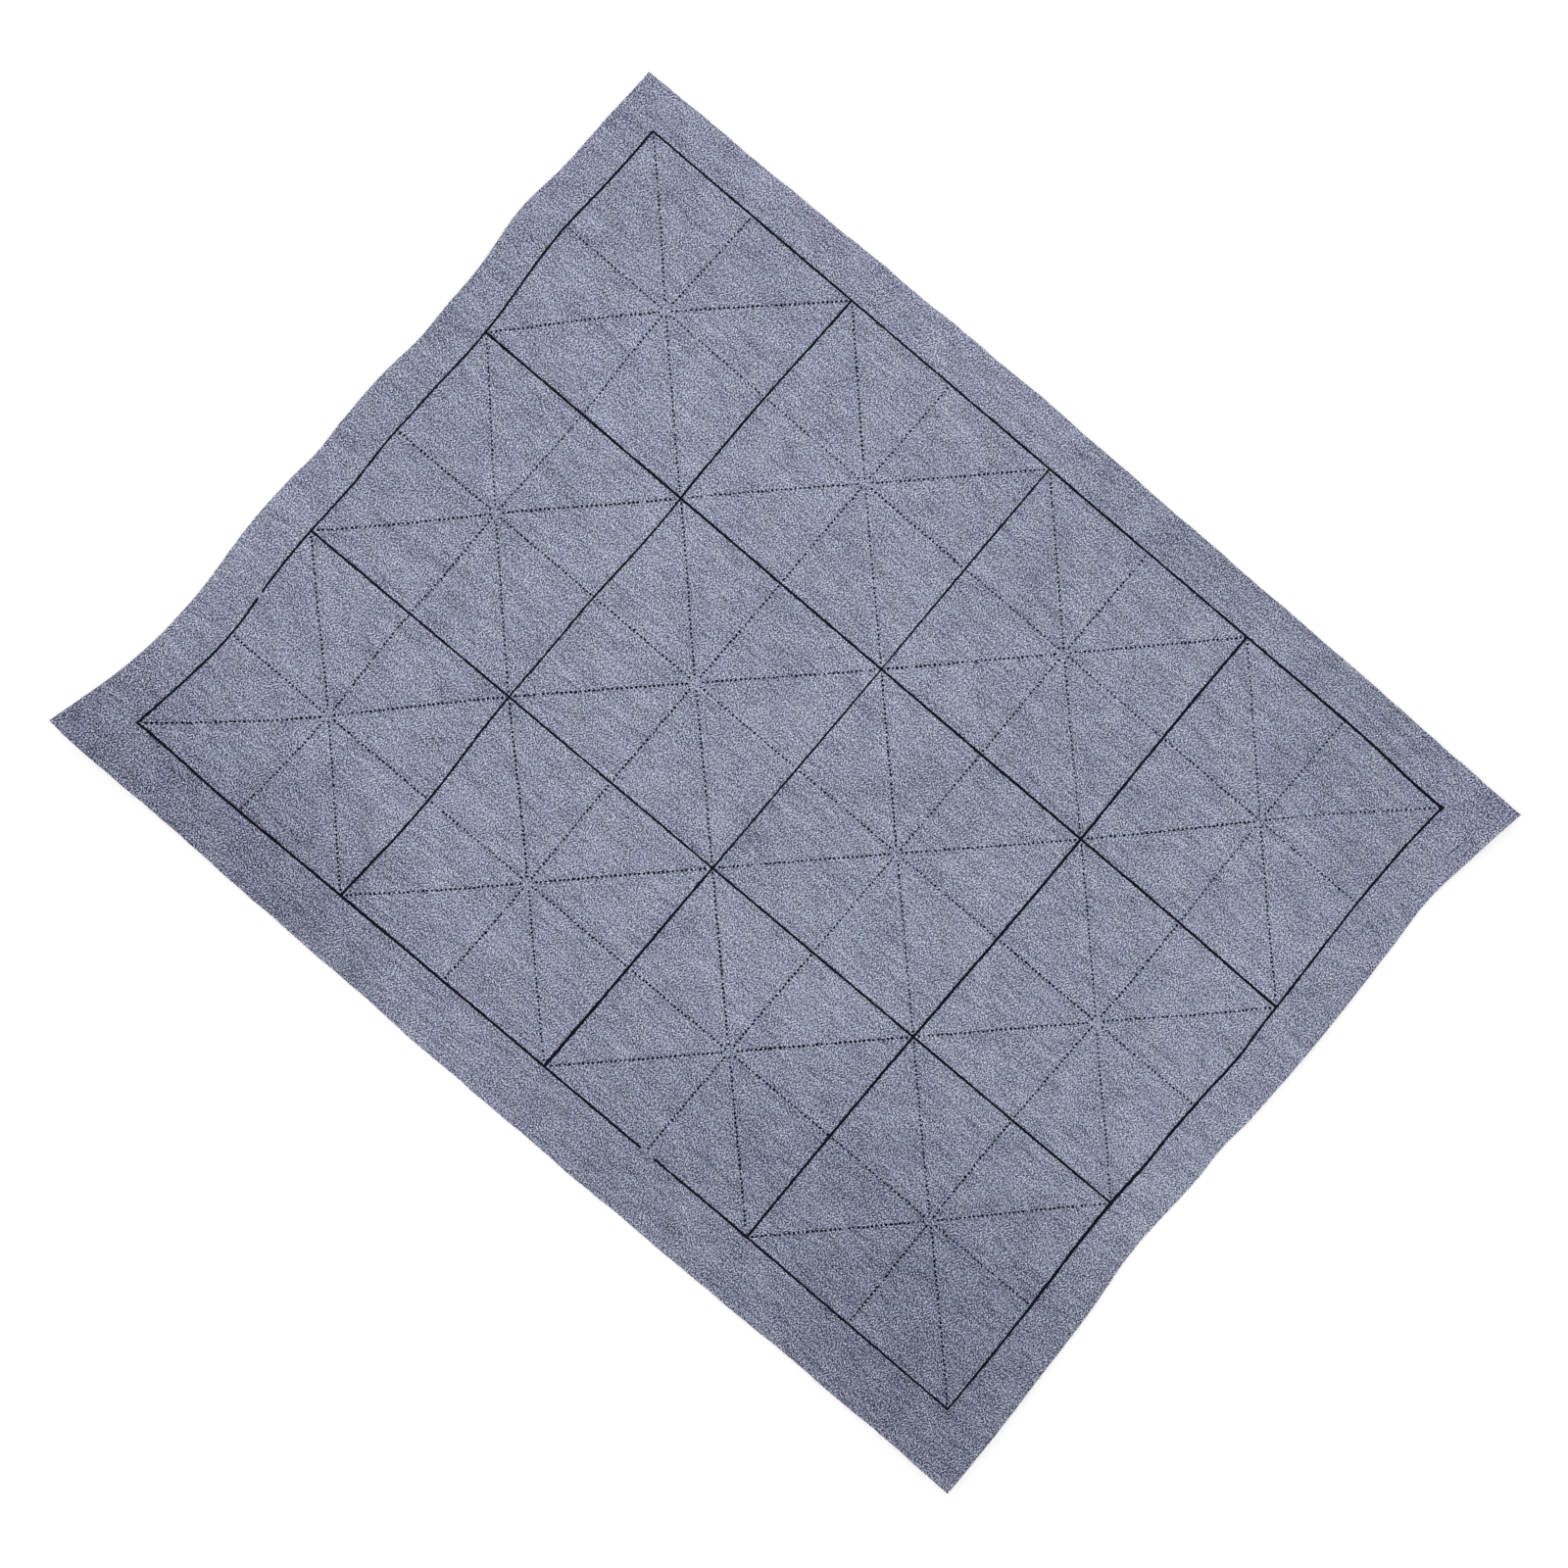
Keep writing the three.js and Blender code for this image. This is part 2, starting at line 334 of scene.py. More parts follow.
def sheet_lattice():
    """Flat points over the sheet, as it was meant to be cut and as it was, with faces and the cut outline."""
    columns = round(2 * sheet_half / SHEET_STEP)
    rows = round((top_edge(0) - bottom_edge(0)) / SHEET_STEP)
    across, up = np.meshgrid(np.linspace(0, 1, columns + 1), np.linspace(0, 1, rows + 1))
    x = left_edge + 2 * sheet_half * across
    y = bottom_edge(x) + (top_edge(x) - bottom_edge(x)) * up
    bottom_shift = strayed(x) + humps_at(x, BOTTOM_STRAYS)
    top_shift = strayed(x) + humps_at(x, TOP_STRAYS)
    shift_x = humps_at(y, LEFT_STRAYS) * (1 - across) + humps_at(y, RIGHT_STRAYS) * across
    shift_y = bottom_shift * (1 - up) + top_shift * up
    meant = np.stack([x, y], axis=-1)
    cut = np.stack([x + shift_x, y + shift_y], axis=-1)
    corner = (np.arange(rows)[:, None] * (columns + 1) + np.arange(columns)).ravel()
    faces = np.stack([corner, corner + 1, corner + columns + 2, corner + columns + 1], axis=1)
    outline = np.concatenate([cut[0, :-1], cut[:-1, -1], cut[-1, :0:-1], cut[:0:-1, 0]])
    return meant.reshape(-1, 2), cut.reshape(-1, 2), faces.tolist(), outline


meant_points, sheet_points, sheet_faces, sheet_outline = sheet_lattice()
sheet_low = laid(*meant_points.T).min(axis=0)
sheet_high = laid(*meant_points.T).max(axis=0)
cad_middle = (cad_box[0] + cad_box[1]) / 2
to_frame = np.array([cad_middle.x, cad_middle.y, 0]) / MM - (sheet_low + sheet_high) / 2 * (1, 1, 0)


def on_sheet(x, y, level):
    """The same points as raised gives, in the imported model's frame, in metres."""
    return (raised(x, y, np.broadcast_to(np.float64(level), x.shape)) + to_frame) * MM


# Meshes

def make_piece(name, points, faces, material):
    """A mesh with its material, riding on the one body."""
    mesh = bpy.data.meshes.new(name)
    mesh.from_pydata(points.tolist(), [], faces)
    mesh.validate()
    mesh.shade_smooth()
    mesh.set_sharp_from_angle(angle=SHARP_ANGLE)
    mesh.materials.append(material)
    piece = bpy.data.objects.new(name, mesh)
    bpy.context.scene.collection.objects.link(piece)
    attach(piece, "root")
    return piece


def rim_steps(faces):
    """The edges that only one face has, in that face's direction."""
    steps = [(a, b) for face in faces for a, b in zip(face, face[1:] + face[:1])]
    known = set(steps)
    return [(a, b) for a, b in steps if (b, a) not in known]


def film(name, flat_points, faces, levels, material):
    """A closed film between two levels, over faces that are drawn on the flat sheet."""
    low, high = levels
    x, y = np.asarray(flat_points, float).T
    count = len(x)
    points = np.concatenate([on_sheet(x, y, high), on_sheet(x, y, low)])
    under = [[count + k for k in reversed(face)] for face in faces]
    sides = [[count + a, count + b, b, a] for a, b in rim_steps(faces)]
    return make_piece(name, points, faces + under + sides, material)


def sheet_layer(name, levels, material, shown):
    """One layer of the sheet, with a flat map that lays out the side that shows large and the other small."""
    piece = film(name, sheet_points, sheet_faces, levels, material)
    large = (sheet_points - sheet_points.min(axis=0)) / (2 * sheet_half + MAP_MARGIN)
    small = large * MAP_SMALL + MAP_SMALL_CORNER
    top, under = (large, small) if shown == "top" else (small, large)
    corners = np.array(sheet_faces)
    rim = len(rim_steps(sheet_faces))
    along = MAP_RIM_START + MAP_RIM_LENGTH * np.arange(rim) / rim
    next_along = along + MAP_RIM_LENGTH / rim
    low, high = (np.full(rim, place) for place in MAP_RIM_BAND)
    rim_corners = [(along, low), (next_along, low), (next_along, high), (along, high)]
    sides = np.stack([np.stack(corner, axis=1) for corner in rim_corners], axis=1)
    places = np.concatenate([top[corners], under[corners[:, ::-1]], sides])
    piece.data.uv_layers.new(name="OFBake").data.foreach_set("uv", places.ravel())
    return piece


def strands(name, paths, radius, material):
    """Thin tapered strands, one closed tube with few sides for each path."""
    count, rings, _ = paths.shape
    heading = np.gradient(paths, axis=1)
    heading /= np.linalg.norm(heading, axis=-1, keepdims=True)
    side = np.cross(heading, (0, 0, 1))
    side /= np.linalg.norm(side, axis=-1, keepdims=True)
    top = np.cross(side, heading)
    turns = np.arange(STRAND_SIDES)[:, None] * 2 * math.pi / STRAND_SIDES
    around = np.cos(turns) * side[:, :, None] + np.sin(turns) * top[:, :, None]
    taper = radius * MM * np.linspace(1, STRAND_TIP, rings)
    points = paths[:, :, None] + taper[:, None, None] * around
    faces = []
    strand_points = rings * STRAND_SIDES
    for first in range(0, count * strand_points, strand_points):
        last = first + strand_points - STRAND_SIDES
        for ring in range(first, last, STRAND_SIDES):
            ahead = ring + STRAND_SIDES
            for k in range(STRAND_SIDES):
                after = (k + 1) % STRAND_SIDES
                faces.append([ring + k, ahead + k, ahead + after, ring + after])
        faces.append(list(range(first, first + STRAND_SIDES)))
        faces.append(list(reversed(range(last, last + STRAND_SIDES))))
    return make_piece(name, points.reshape(-1, 3), faces, material)


# Print

def ragged(count, amount):
    """A smooth random row of offsets that starts and ends at zero: quick jitter and slow swells."""
    blend = (0.2, 0.3, 0.3, 0.2)
    swell_steps = 12
    swell_share = 0.4
    end_steps = 2
    places = np.arange(count)
    knots = np.arange(0, count + swell_steps, swell_steps)
    rough = rng.normal(size=count + len(blend))
    jitter = np.convolve(rough, blend, mode="valid")[:count]
    swells = np.interp(places, knots, rng.normal(size=len(knots)))
    ends = np.minimum(places, places[::-1]) / end_steps
    return amount * (jitter + swell_share * swells) * np.clip(ends, 0, 1)


def pulled(pulls, x, y):
    """How far a set of pulls moved the points."""
    total = 0
    for middle_x, middle_y, reach_x, reach_y, size in pulls:
        across = humps_at(x, ((middle_x, reach_x, 1),))
        total = total + size * across * humps_at(y, ((middle_y, reach_y, 1),))
    return total


def wandered(points):
    """Where the printed points landed, against the straight grid that was meant."""
    x, y = np.asarray(points, float).T
    sag = PRINT_SAG + PRINT_SAG_SKEW * (x / grid_half_x) * (y / SQUARE) * 2
    shift_y = pulled(PULLS_ALONG_Y, x, y) - sag * np.clip(1 - (y / grid_half_y) ** 2, 0, 1)
    return np.stack([x + pulled(PULLS_ALONG_X, x, y), y + shift_y], axis=1)


class Drawing:
    """Points and faces on the flat sheet."""

    def __init__(self):
        self.points = []
        self.faces = []

    def add(self, points):
        """Adds points and gives their numbers."""
        first = len(self.points)
        self.points.extend(tuple(point) for point in points)
        return list(range(first, len(self.points)))

    def strip(self, right, left):
        """Faces between a right-hand and a left-hand row of points, looking along the strip."""
        for k in range(len(right) - 1):
            self.faces.append([right[k], right[k + 1], left[k + 1], left[k]])


def line_run(drawing, start, end, along_x, place, pressures, start_pair=None, end_pair=None):
    """One inked stretch of a line, between two crossings or free ends."""
    count = max(round((end - start) / LINE_STEP), 2)
    stations = np.linspace(start, end, count + 1)
    reach = grid_half_x if along_x else grid_half_y
    crossings = np.linspace(-reach, reach, len(pressures))
    full = np.interp(stations, crossings, pressures) * rng.uniform(*LINE_STRAY)
    if start_pair is None:
        full *= STARVED_WIDTH + (1 - STARVED_WIDTH) * smoothstep((stations - start) / STARVED_END)
    if end_pair is None:
        full *= STARVED_WIDTH + (1 - STARVED_WIDTH) * smoothstep((end - stations) / STARVED_END)
    blot = 0
    if along_x and place == -grid_half_y:
        into_blot = (stations - BLOT_END + BLOT_LENGTH) / BLOT_LENGTH
        blot = BLOT_WIDTH * np.where(into_blot < 1, smoothstep(into_blot), 0)
    sides = []
    for sign, pair_index, spread in ((-1, 0, 0), (1, 1, blot)):
        offset = sign * (full * (LINE_WIDTH / 2 + ragged(count + 1, LINE_RAGGED)) + spread)
        if along_x:
            points = np.stack([stations, place + offset], axis=1)
        else:
            points = np.stack([place - offset, stations], axis=1)
        inner = points[1 if start_pair else 0 : -1 if end_pair else None]
        row = drawing.add(inner)
        row = ([start_pair[pair_index]] if start_pair else []) + row
        row = row + ([end_pair[pair_index]] if end_pair else [])
        sides.append(row)
    drawing.strip(*sides)


def line_stretches(drawing, start, end, along_x, place, pressures, start_pair, end_pair, gaps):
    """A line between two crossings, in runs between the gaps that the print missed."""
    pair = start_pair
    for gap_start, gap_end in gaps:
        if start < gap_start and gap_end < end:
            line_run(drawing, start, gap_start, along_x, place, pressures, start_pair=pair)
            start, pair = gap_end, None
    line_run(drawing, start, end, along_x, place, pressures, pair, end_pair)


def draw_grid():
    """All the solid lines: a face on each crossing, and stretches between them."""
    drawing = Drawing()
    half = LINE_WIDTH / 2
    column_lines = [(i - COLUMNS / 2) * SQUARE for i in range(COLUMNS + 1)]
    row_lines = [(j - ROWS / 2) * SQUARE for j in range(ROWS + 1)]
    bottom_gaps = (
        (BOTTOM_BREAK_START, BOTTOM_BREAK_START + BOTTOM_BREAK_WIDTH),
        (NICK_START, NICK_START + NICK_WIDTH),
    )
    left_gaps = ((-LEFT_BREAK_START - LEFT_BREAK_WIDTH, -LEFT_BREAK_START),)
    corners = {}
    for i, x in enumerate(column_lines):
        for j, y in enumerate(row_lines):
            blotted = (i, j) == (COLUMNS, ROWS)
            swell = CORNER_SWELL if blotted else rng.uniform(0, CROSSING_SWELL)
            reach_x = half * COLUMN_PRESSURES[i][j] + swell
            reach_y = half * ROW_PRESSURES[j][i] + swell
            around = ((-1, -1), (1, -1), (1, 1), (-1, 1))
            corners[i, j] = drawing.add((x + a * reach_x, y + b * reach_y) for a, b in around)
            drawing.faces.append(list(corners[i, j]))
    for j, y in enumerate(row_lines):
        for i in range(COLUMNS):
            _, right_low, right_high, _ = corners[i, j]
            left_low, _, _, left_high = corners[i + 1, j]
            line_stretches(
                drawing, column_lines[i] + half, column_lines[i + 1] - half, True, y, ROW_PRESSURES[j],
                (right_low, right_high), (left_low, left_high), bottom_gaps if j == 0 else (),
            )
    for i, x in enumerate(column_lines):
        for j in range(ROWS):
            _, _, upper_right, upper_left = corners[i, j]
            lower_left, lower_right, _, _ = corners[i, j + 1]
            line_stretches(
                drawing, row_lines[j] + half, row_lines[j + 1] - half, False, x, COLUMN_PRESSURES[i],
                (upper_right, upper_left), (lower_right, lower_left), left_gaps if i == 0 else (),
            )
    return drawing


def draw_dot(drawing, middle, heading, run_size):
    """One uneven dash of ink."""
    turns = np.arange(DOT_SIDES) * 2 * math.pi / DOT_SIDES
    swell = 1 + DOT_RAGGED * rng.normal(size=DOT_SIDES)
    size = run_size * rng.uniform(*(WEAK_SIZES if rng.random() < WEAK_DOTS else DOT_SIZES))
    along = DOT_HALF_LENGTH * size * swell * np.cos(turns)
    across = DOT_HALF_WIDTH * size * swell * np.sin(turns)
    x = middle[0] + along * math.cos(heading) - across * math.sin(heading)
    y = middle[1] + along * math.sin(heading) + across * math.cos(heading)
    drawing.faces.append(drawing.add(np.stack([x, y], axis=1)))


def draw_guides():
    """All the dotted guides: eight runs of dots in each square, from near its middle outwards."""
    drawing = Drawing()
    for column in range(COLUMNS):
        for row in range(ROWS):
            middle_x = (column + 0.5) * SQUARE - grid_half_x
            middle_y = (row + 0.5) * SQUARE - grid_half_y
            for eighth in range(8):
                heading = eighth * math.pi / 4
                diagonal = eighth % 2 == 1
                reach = SQUARE / 2 * (math.sqrt(2) if diagonal else 1)
                start = rng.uniform(*GUIDE_FROM_MIDDLE)
                end = reach - rng.uniform(*(GUIDE_FROM_CORNERS if diagonal else GUIDE_FROM_LINES))
                run_size = rng.uniform(*RUN_SIZES) * HEADING_SIZES[eighth % 4]
                run_size *= 1 - GUIDE_FADE * middle_y / SQUARE
                for distance in np.linspace(start, end, round((end - start) / DOT_PITCH) + 1):
                    stray_along, stray_across = rng.normal(size=2) * DOT_STRAYS
                    away = distance + stray_along
                    x = middle_x + away * math.cos(heading) - stray_across * math.sin(heading)
                    y = middle_y + away * math.sin(heading) + stray_across * math.cos(heading)
                    draw_dot(drawing, (x, y), heading, run_size)
    return drawing


# Fibres

def fringe_paths():
    """Short bent fibre ends that stand out of the cut edges."""
    ahead = np.roll(sheet_outline, -1, axis=0) - sheet_outline
    lengths = np.linalg.norm(ahead, axis=1)
    outward = np.stack([ahead[:, 1], -ahead[:, 0]], axis=1) / lengths[:, None]
    count = round(lengths.sum() * FRINGE_PER_MM)
    step = rng.choice(len(lengths), size=count, p=lengths / lengths.sum())
    along = ahead[step] / lengths[step, None]
    root = sheet_outline[step] + ahead[step] * rng.random((count, 1))
    lean = along * rng.normal(0, FRINGE_LEAN, (count, 1))
    reach = (outward[step] + lean) * rng.uniform(*FRINGE_LENGTHS, (count, 1))
    bend = along * rng.normal(0, FRINGE_BEND, (count, 1))
    share = np.linspace(-FRINGE_ROOT, 1, FRINGE_RINGS)[None, :, None]
    flat = root[:, None] + reach[:, None] * share + bend[:, None] * share * share
    level = rng.uniform(*FRINGE_LEVELS, (count, 1)) * face_level
    level = level + rng.normal(0, FRINGE_RISE, (count, 1)) * share[..., 0]
    return on_sheet(flat[..., 0], flat[..., 1], np.maximum(level, FRINGE_RADIUS))


def stray_path():
    """The dark fibre's path on the face."""
    share = np.linspace(0, 1, STRAY_RINGS)
    bow = sum(size * np.sin(waves * math.pi * share) for waves, size in STRAY_BOWS)
    x = STRAY_START[0] + (STRAY_END[0] - STRAY_START[0]) * share + bow
    y = STRAY_START[1] + (STRAY_END[1] - STRAY_START[1]) * share
    return on_sheet(x, y, np.full(STRAY_RINGS, face_level + STRAY_RADIUS))[None]


# Materials

def new_material(name, roughness):
    """A material with its node tree and its shader."""
    material = bpy.data.materials.new(name)
    material.use_nodes = True
    shader = material.node_tree.nodes["Principled BSDF"]
    shader.inputs["Roughness"].default_value = roughness
    return material, material.node_tree, shader


def placed(tree, scale, location=(0, 0, 0), turn=(0, 0, 0)):
    """Object coordinates in metres, scaled, turned and then shifted."""
    coordinates = tree.nodes.new("ShaderNodeTexCoord")
    mapping = tree.nodes.new("ShaderNodeMapping")
    mapping.inputs["Scale"].default_value = scale
    mapping.inputs["Rotation"].default_value = turn
    mapping.inputs["Location"].default_value = location
    tree.links.new(coordinates.outputs["Object"], mapping.inputs["Vector"])
    return mapping.outputs["Vector"]


def noise(tree, cell, detail=0.0, stretch_x=1.0):
    """Flat noise with cells of about this many millimetres, turned aslant and drawn out along X."""
    scale = 1 / (cell * MM)
    aslant = (0, 0, 0.6)
    texture = tree.nodes.new("ShaderNodeTexNoise")
    texture.noise_dimensions = "2D"
    texture.inputs["Scale"].default_value = 1
    texture.inputs["Detail"].default_value = detail
    vector = placed(tree, (scale / stretch_x, scale, scale), turn=aslant)
    tree.links.new(vector, texture.inputs["Vector"])
    return texture.outputs["Fac"]


def patch(tree, middle, reach):
    """1 in the middle of an oval patch, falling to 0 at its reach along X and Y."""
    scale = [1 / (side * MM) for side in reach]
    location = [-place / side for place, side in zip(middle, reach)]
    gradient = tree.nodes.new("ShaderNodeTexGradient")
    gradient.gradient_type = "SPHERICAL"
    tree.links.new(placed(tree, (*scale, 0), (*location, 0)), gradient.inputs["Vector"])
    return gradient.outputs["Fac"]


def dark_tail(tree, value, start, end):
    """0 where a value is above its start, falling to -1 at its end."""
    tail = tree.nodes.new("ShaderNodeMapRange")
    tail.interpolation_type = "SMOOTHSTEP"
    tail.inputs["From Min"].default_value = end
    tail.inputs["From Max"].default_value = start
    tail.inputs["To Min"].default_value = -1
    tail.inputs["To Max"].default_value = 0
    tree.links.new(value, tail.inputs["Value"])
    return tail.outputs["Result"]


def weighted(tree, start, parts):
    """A start value plus each part times its weight."""
    total = start
    for value, weight in parts:
        step = tree.nodes.new("ShaderNodeMath")
        step.operation = "MULTIPLY_ADD"
        tree.links.new(value, step.inputs[0])
        step.inputs[1].default_value = weight
        if isinstance(total, float):
            step.inputs[2].default_value = total
        else:
            tree.links.new(total, step.inputs[2])
        total = step.outputs["Value"]
    return total


def start_for(noises, mean):
    """The start from which weighted noises, each 0.5 on average, come out at this mean."""
    return mean - 0.5 * sum(weight for _, weight in noises)


def ramp(tree, value, stops):
    """Colours that run from stop to stop as a value grows."""
    node = tree.nodes.new("ShaderNodeValToRGB")
    elements = node.color_ramp.elements
    while len(elements) < len(stops):
        elements.new(0.5)
    for element, (position, colour) in zip(elements, stops):
        element.position = position
        element.color = (*colour, 1)
    tree.links.new(value, node.inputs["Fac"])
    return node.outputs["Color"]


def bump(tree, shader, height, strength, distance):
    """Fine relief of a surface, this many millimetres deep."""
    node = tree.nodes.new("ShaderNodeBump")
    node.inputs["Strength"].default_value = strength
    node.inputs["Distance"].default_value = distance * MM
    tree.links.new(height, node.inputs["Height"])
    tree.links.new(node.outputs["Normal"], shader.inputs["Normal"])


def linear(red, green, blue):
    """A display colour, from 0 to 255, as the linear colour that a shader takes."""
    def convert(value):
        value = max(value, 0) / 255
        return value / 12.92 if value <= 0.04045 else ((value + 0.055) / 1.055) ** 2.4
    return tuple(convert(value) for value in (red, green, blue))


def mixed(tree, share, first, second):
    """The first colour where a share is 0, and the second where it is 1."""
    node = tree.nodes.new("ShaderNodeMix")
    node.data_type = "RGBA"
    tree.links.new(share, node.inputs["Factor"])
    tree.links.new(first, node.inputs["A"])
    tree.links.new(second, node.inputs["B"])
    return node.outputs["Result"]


def shades(tree, value, middle, contrast):
    """Shades around a display colour: darker for a value below 0.5 and paler above it."""
    stops = []
    for position, offset in FELT_SHADES:
        stops.append((position, linear(*(channel + contrast * offset for channel in middle))))
    return ramp(tree, value, stops)


def felt(name, warm_colour, cool_colour, contrast):
    """Short matted fibres: fine grain, dark streaks along the long side, smudges, painted shade and light."""
    material, tree, shader = new_material(name, roughness=0.95)
    shader.inputs["Specular IOR Level"].default_value = 0.2
    shader.inputs["Sheen Weight"].default_value = 0.08
    shader.inputs["Sheen Roughness"].default_value = 0.6
    grain = noise(tree, cell=0.47)
    clumps = noise(tree, cell=1.1)
    tufts = noise(tree, cell=2.2, stretch_x=2.0)
    streaks = dark_tail(tree, noise(tree, cell=1.0, stretch_x=7.0), start=0.6, end=0.25)
    wide_streaks = noise(tree, cell=2.4, stretch_x=12.0)
    smudges = dark_tail(tree, noise(tree, cell=2.4, detail=1.0, stretch_x=4.0), start=0.52, end=0.25)
    drifts = noise(tree, cell=4.5, stretch_x=2.5)
    mottle = noise(tree, cell=11.0, stretch_x=1.5)
    broad = noise(tree, cell=70.0)
    noises = (
        (grain, 1.36), (clumps, 0.13), (tufts, 0.07), (wide_streaks, 0.09), (drifts, 0.045), (mottle, 0.07),
        (broad, 0.06),
    )
    dark = ((streaks, 0.07), (smudges, 0.04))
    # patches of painted shade (darker) and painted light (paler), laid over the felt's own tone
    painted_shading = tuple((patch(tree, middle, reach), strength) for middle, reach, strength in PAINTED_SHADING_PATCHES)
    value = weighted(tree, start_for(noises, mean=0.524), noises + dark + painted_shading)
    cool_patch = (patch(tree, middle=(45, 0), reach=(290, 230)), 0.42)
    tints = ((noise(tree, cell=3.5, stretch_x=1.5), 0.7), (noise(tree, cell=12.0), 0.7))
    tint = weighted(tree, start_for(tints, mean=0.25), (cool_patch, *tints))
    warm = shades(tree, value, warm_colour, contrast)
    cool = shades(tree, value, cool_colour, contrast)
    tree.links.new(mixed(tree, tint, warm, cool), shader.inputs["Base Color"])
    bump(tree, shader, clumps, strength=0.35, distance=0.12)
    return material


def ink(name):
    """Screen-printed ink, with the cloth's grain showing through where it is thin."""
    material, tree, shader = new_material(name, roughness=0.75)
    shader.inputs["Specular IOR Level"].default_value = 0.06
    cover = noise(tree, cell=0.7, detail=2.0)
    stops = ((0.4, linear(9, 10, 22)), (0.65, linear(17, 18, 33)), (0.85, linear(46, 49, 66)))
    tree.links.new(ramp(tree, cover, stops), shader.inputs["Base Color"])
    bump(tree, shader, cover, strength=0.2, distance=0.05)
    return material


coat_felt = felt("writing_coat_felt", (138, 139, 164), (142, 151, 169), contrast=40)
base_felt = felt("base_felt", (118, 120, 135), (118, 121, 136), contrast=30)
colour_felt = felt("colour_layer_felt", (38, 40, 54), (38, 40, 54), contrast=8)
printed_ink = ink("printed_ink")
stray_fibre = ink("stray_fibre")

base = sheet_layer("felt_base", (0, colour_level), base_felt, "under")
colour = sheet_layer("felt_colour_layer", (colour_level, coat_level), colour_felt, "top")
coat = sheet_layer("felt_writing_coat", (coat_level, face_level), coat_felt, "top")
ink_levels = (face_level, ink_level)
grid_drawing = draw_grid()
grid_points = wandered(grid_drawing.points)
grid = film("printed_grid", grid_points, grid_drawing.faces, ink_levels, printed_ink)
dots_drawing = draw_guides()
dots_points = wandered(dots_drawing.points)
dots = film("printed_guides", dots_points, dots_drawing.faces, ink_levels, printed_ink)
fringe = strands("edge_fibres", fringe_paths(), FRINGE_RADIUS, coat_felt)
stray = strands("stray_fibre", stray_path(), STRAY_RADIUS, stray_fibre)
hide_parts("base_cloth")
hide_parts("colour_layer")
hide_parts("writing_coat")
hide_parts("grid_lines")


# Camera

def camera_axes():
    """Right, up and back of the camera, turned about the line of sight by the roll."""
    tilt, azimuth, roll = CAMERA_TILT, CAMERA_AZIMUTH, CAMERA_ROLL
    back = Vector((math.sin(tilt) * math.sin(azimuth), -math.sin(tilt) * math.cos(azimuth), math.cos(tilt)))
    up = Vector((-math.cos(tilt) * math.sin(azimuth), math.cos(tilt) * math.cos(azimuth), math.sin(tilt)))
    right = up.cross(back)
    turned_right = math.cos(roll) * right + math.sin(roll) * up
    turned_up = -math.sin(roll) * right + math.cos(roll) * up
    return turned_right, turned_up, back


right, up, back = camera_axes()
aim = Vector(((CAMERA_AIM[0] + to_frame[0]) * MM, (CAMERA_AIM[1] + to_frame[1]) * MM, 0))
camera_data = bpy.data.cameras.new("camera")
camera_data.sensor_width = 36
camera_data.lens = camera_data.sensor_width * FOCAL_PIXELS / FRAME_PIXELS
camera_data.clip_start = 0.01
camera = bpy.data.objects.new("camera", camera_data)
turn = Matrix((right, up, back)).transposed()
camera.matrix_world = Matrix.Translation(aim + back * CAMERA_DISTANCE * MM) @ turn.to_4x4()
bpy.context.scene.collection.objects.link(camera)
bpy.context.scene.camera = camera


# Floor, light and background

def seen_directly(tree):
    """1 for camera, glossy and transmission rays, and 0 for the rays that carry light."""
    path = tree.nodes.new("ShaderNodeLightPath")
    total = path.outputs["Is Camera Ray"]
    for kind in ("Is Glossy Ray", "Is Transmission Ray"):
        either = tree.nodes.new("ShaderNodeMath")
        either.operation = "MAXIMUM"
        tree.links.new(total, either.inputs[0])
        tree.links.new(path.outputs[kind], either.inputs[1])
        total = either.outputs["Value"]
    return total


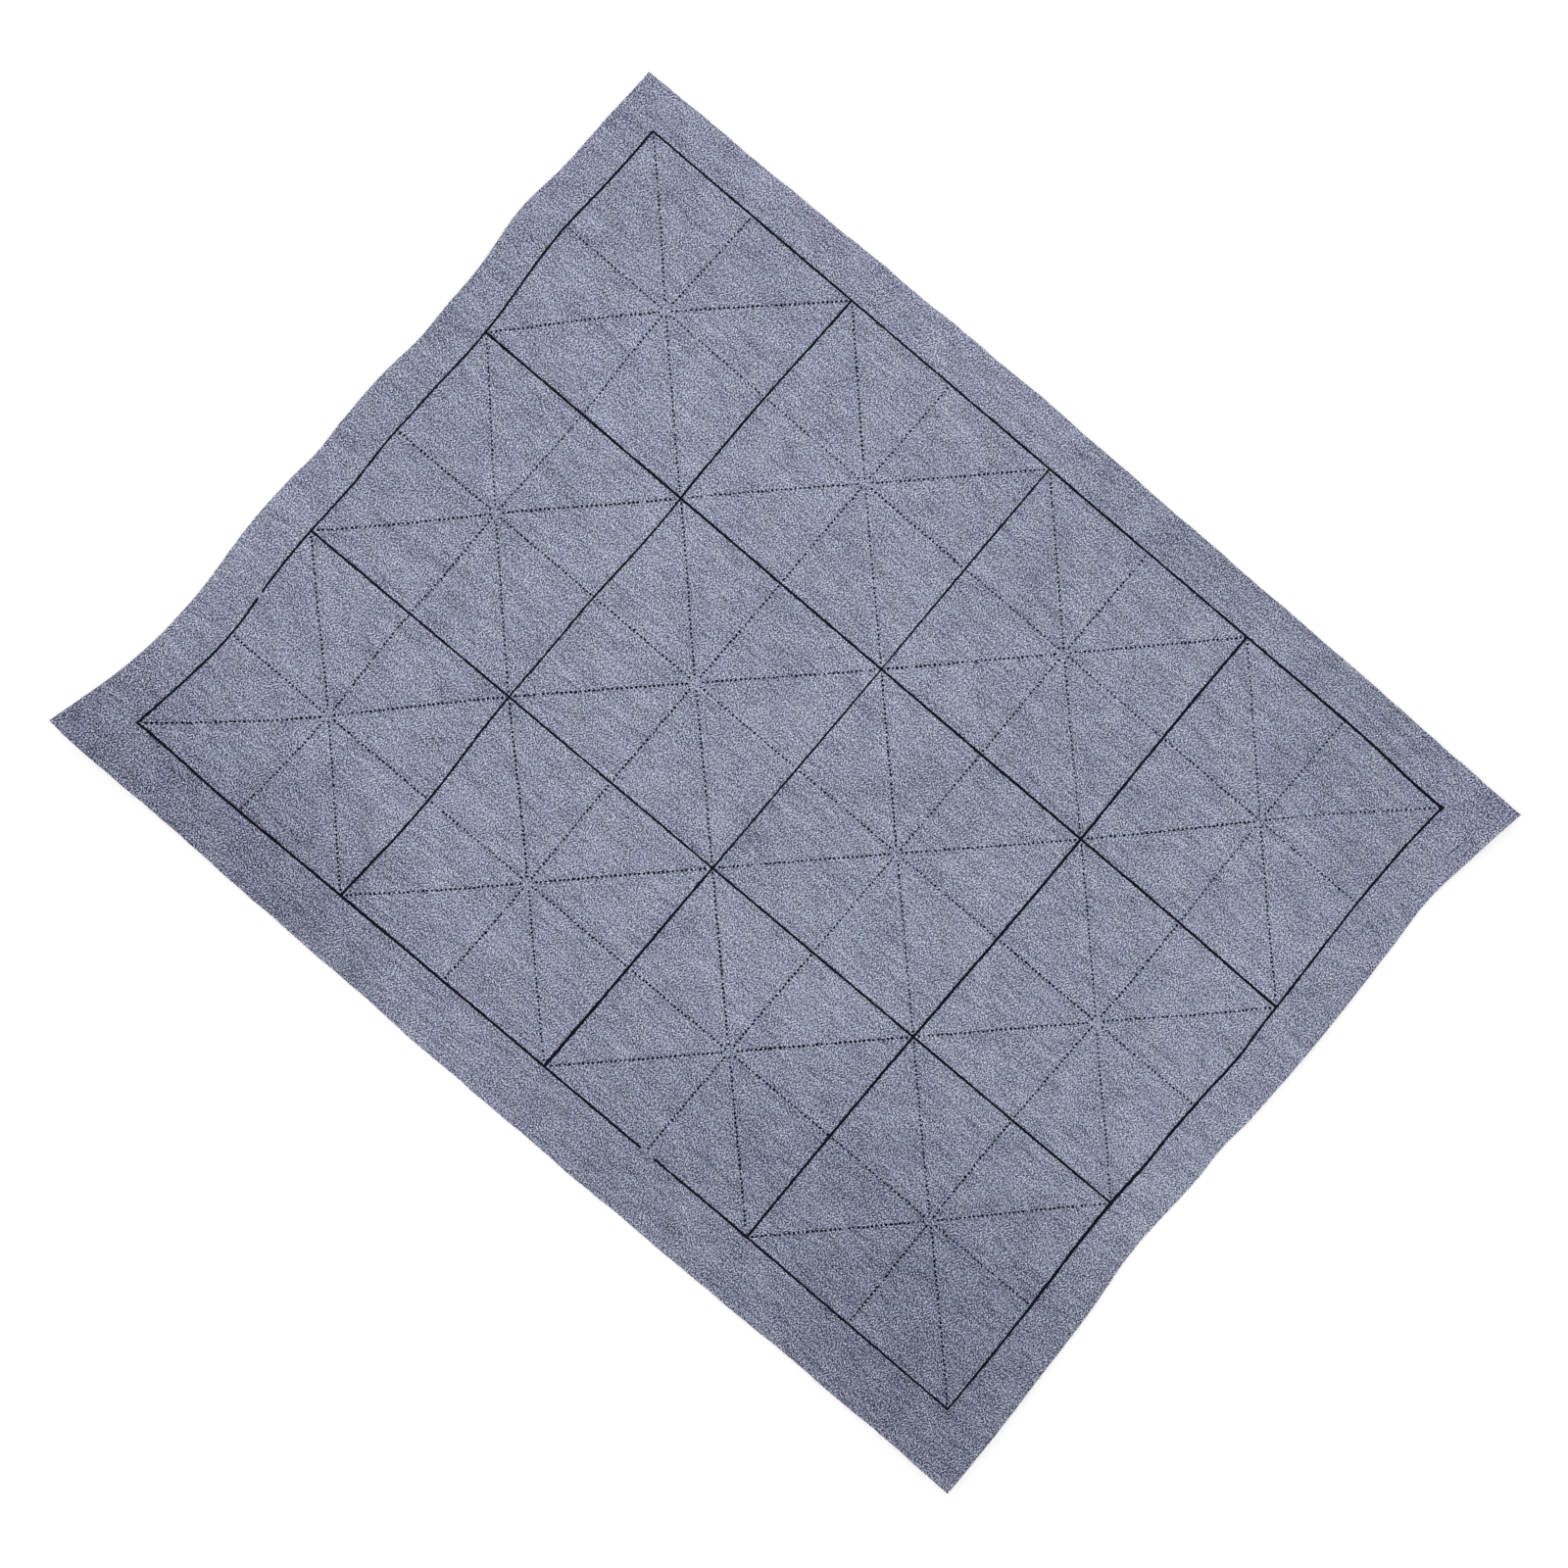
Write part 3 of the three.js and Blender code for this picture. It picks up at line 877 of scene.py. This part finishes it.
def make_floor():
    """A pale floor that looks white and still takes the cloth's shadow."""
    around = ((-1, -1), (1, -1), (1, 1), (-1, 1))
    corners = [(a * FLOOR_HALF, b * FLOOR_HALF, -FLOOR_DROP) for a, b in around]
    mesh = bpy.data.meshes.new("floor")
    mesh.from_pydata(corners, [], [(0, 1, 2, 3)])
    floor = bpy.data.objects.new("floor", mesh)
    bpy.context.scene.collection.objects.link(floor)
    material = bpy.data.materials.new("floor")
    material.use_nodes = True
    tree = material.node_tree
    tree.nodes.clear()
    diffuse = tree.nodes.new("ShaderNodeBsdfDiffuse")
    diffuse.inputs["Color"].default_value = (FLOOR_SHADE, FLOOR_SHADE, FLOOR_SHADE, 1)
    glow = tree.nodes.new("ShaderNodeEmission")
    strength = tree.nodes.new("ShaderNodeMath")
    strength.operation = "MULTIPLY"
    strength.inputs[1].default_value = FLOOR_GLOW
    tree.links.new(seen_directly(tree), strength.inputs[0])
    tree.links.new(strength.outputs["Value"], glow.inputs["Strength"])
    both = tree.nodes.new("ShaderNodeAddShader")
    tree.links.new(diffuse.outputs["BSDF"], both.inputs[0])
    tree.links.new(glow.outputs["Emission"], both.inputs[1])
    output = tree.nodes.new("ShaderNodeOutputMaterial")
    tree.links.new(both.outputs["Shader"], output.inputs["Surface"])
    mesh.materials.append(material)


def make_world(light):
    """Even light all round, with a white background where it is seen."""
    world = bpy.data.worlds.new("studio")
    world.use_nodes = True
    tree = world.node_tree
    background = tree.nodes["Background"]
    background.inputs["Color"].default_value = (1, 1, 1, 1)
    strength = tree.nodes.new("ShaderNodeMapRange")
    strength.inputs["To Min"].default_value = light
    strength.inputs["To Max"].default_value = 1
    tree.links.new(seen_directly(tree), strength.inputs["Value"])
    tree.links.new(strength.outputs["Result"], background.inputs["Strength"])
    bpy.context.scene.world = world


def make_softbox(name, direction, distance, size, energy):
    """A square area light that faces the aim."""
    data = bpy.data.lights.new(name, "AREA")
    data.shape = "SQUARE"
    data.size = size
    data.energy = energy
    box = bpy.data.objects.new(name, data)
    direction = direction.normalized()
    facing = direction.to_track_quat("Z", "Y").to_matrix().to_4x4()
    box.matrix_world = Matrix.Translation(aim + direction * distance) @ facing
    bpy.context.scene.collection.objects.link(box)


make_floor()
make_world(WORLD_LIGHT)
key_direction = KEY_LEAN[0] * right + KEY_LEAN[1] * up + back
make_softbox("key_softbox", key_direction, KEY_DISTANCE, KEY_SIZE, KEY_ENERGY)
bpy.context.scene.view_settings.view_transform = "Standard"
